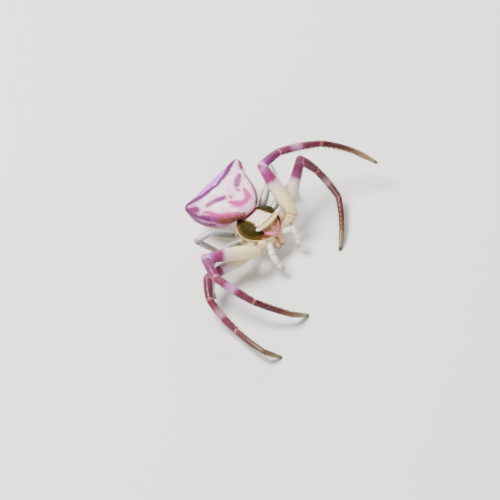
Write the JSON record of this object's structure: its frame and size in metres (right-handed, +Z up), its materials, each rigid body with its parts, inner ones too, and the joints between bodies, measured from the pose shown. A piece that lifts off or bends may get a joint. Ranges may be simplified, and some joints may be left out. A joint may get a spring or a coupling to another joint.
{
  "type": "crab spider",
  "caption": "Life-size still model of a female crab spider in ambush: broad two-humped abdomen, horned eye ridge, long raking front legs and short hind legs.",
  "frame": {"origin": "on the floor, under the middle of the spider's bounding box", "axes": "+Z up from the floor; the spider faces -Y and its left side is +X; the spread of the legs is longest along X"},
  "size_m": [0.0182, 0.0126, 0.0053],
  "materials": {
    "carapace": "satin",
    "sternum": "satin",
    "abdomen": "matte",
    "pedicel": "satin",
    "spinnerets": "matte",
    "chelicera": "satin",
    "palp": "satin",
    "eye": "glossy",
    "femur": "satin",
    "patella": "satin",
    "tibia": "satin",
    "metatarsus": "satin",
    "tarsus": "satin"
  },
  "bodies": {
    "root": {"carapace": "carapace", "sternum": "sternum", "abdomen": "abdomen", "pedicel": "pedicel", "spinnerets": "spinnerets", "chelicera_left": "chelicera", "palp_left": "palp", "chelicera_right": "chelicera", "palp_right": "palp", "eye_front_middle_left": "eye", "eye_front_middle_right": "eye", "eye_front_side_left": "eye", "eye_front_side_right": "eye", "eye_rear_middle_left": "eye", "eye_rear_middle_right": "eye", "eye_rear_side_left": "eye", "eye_rear_side_right": "eye", "leg1_left_femur": "femur", "leg1_left_patella": "patella", "leg1_left_tibia": "tibia", "leg1_left_metatarsus": "metatarsus", "leg1_left_tarsus": "tarsus", "leg1_right_femur": "femur", "leg1_right_patella": "patella", "leg1_right_tibia": "tibia", "leg1_right_metatarsus": "metatarsus", "leg1_right_tarsus": "tarsus", "leg2_left_femur": "femur", "leg2_left_patella": "patella", "leg2_left_tibia": "tibia", "leg2_left_metatarsus": "metatarsus", "leg2_left_tarsus": "tarsus", "leg2_right_femur": "femur", "leg2_right_patella": "patella", "leg2_right_tibia": "tibia", "leg2_right_metatarsus": "metatarsus", "leg2_right_tarsus": "tarsus", "leg3_left_femur": "femur", "leg3_left_patella": "patella", "leg3_left_tibia": "tibia", "leg3_left_metatarsus": "metatarsus", "leg3_left_tarsus": "tarsus", "leg3_right_femur": "femur", "leg3_right_patella": "patella", "leg3_right_tibia": "tibia", "leg3_right_metatarsus": "metatarsus", "leg3_right_tarsus": "tarsus", "leg4_left_femur": "femur", "leg4_left_patella": "patella", "leg4_left_tibia": "tibia", "leg4_left_metatarsus": "metatarsus", "leg4_left_tarsus": "tarsus", "leg4_right_femur": "femur", "leg4_right_patella": "patella", "leg4_right_tibia": "tibia", "leg4_right_metatarsus": "metatarsus", "leg4_right_tarsus": "tarsus"}
  },
  "joints": []
}
